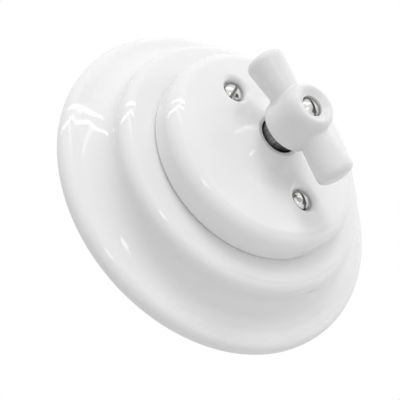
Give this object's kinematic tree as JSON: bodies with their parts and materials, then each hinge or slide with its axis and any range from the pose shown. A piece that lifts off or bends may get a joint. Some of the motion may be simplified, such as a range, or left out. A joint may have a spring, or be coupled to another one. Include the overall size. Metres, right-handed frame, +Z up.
{
  "type": "rotary wall switch",
  "caption": "Round stepped white porcelain wall switch with a butterfly turn knob, flush mechanism behind, fixed to a wall box by two slotted holes.",
  "frame": {"origin": "on the switch axis at the wall plane, which is the rear face of the bridge plate and of the frame, midway between the two box screws", "axes": "-Y out of the wall along the switch axis, +Z up along the line of the cover screws, +X along the line of the box screws"},
  "size_m": [0.1, 0.0709, 0.1],
  "materials": {
    "porcelain": "white porcelain with a clear gloss glaze",
    "steatite": "unglazed matt cream ceramic",
    "nickel": "bright nickel plate",
    "dark_steel": "blackened steel, finely straight knurled",
    "zinc_steel": "blue zinc plated steel",
    "spring_steel": "tempered spring steel",
    "brass": "turned brass",
    "bronze": "rolled phosphor bronze strip",
    "phenolic": "moulded brown phenolic"
  },
  "bodies": {
    "housing": {"frame_ring": "porcelain", "cover_plate": "porcelain", "cover_screws": "nickel", "guide_bushing": "brass", "lock_washer": "spring_steel", "bushing_nut": "brass", "bridge_plate": "zinc_steel", "cover_posts": "zinc_steel", "base_lid": "phenolic", "switch_base": "steatite", "body_screws": "zinc_steel", "body_nuts": "zinc_steel", "detent_spring_left": "spring_steel", "detent_spring_right": "spring_steel", "contact_jaw_left": "bronze", "contact_jaw_right": "bronze", "jaw_rivets": "brass", "terminal_block_left": "brass", "terminal_block_right": "brass", "terminal_screws": "zinc_steel"},
    "turning_set": {"knob": "porcelain", "knob_screw": "nickel", "knob_ferrule": "dark_steel", "spindle": "zinc_steel", "thrust_washer": "brass", "spindle_clip": "spring_steel", "detent_cam": "phenolic", "rotor": "phenolic", "rotor_blade": "brass", "rotor_clip": "spring_steel"}
  },
  "joints": [
    {"name": "knob_turn", "type": "hinge", "parent": "housing", "child": "turning_set", "pos_m": [0, 0, 0], "axis": [0, -1, 0], "continuous": true, "deforming": ["detent_spring_left", "detent_spring_right"]}
  ]
}
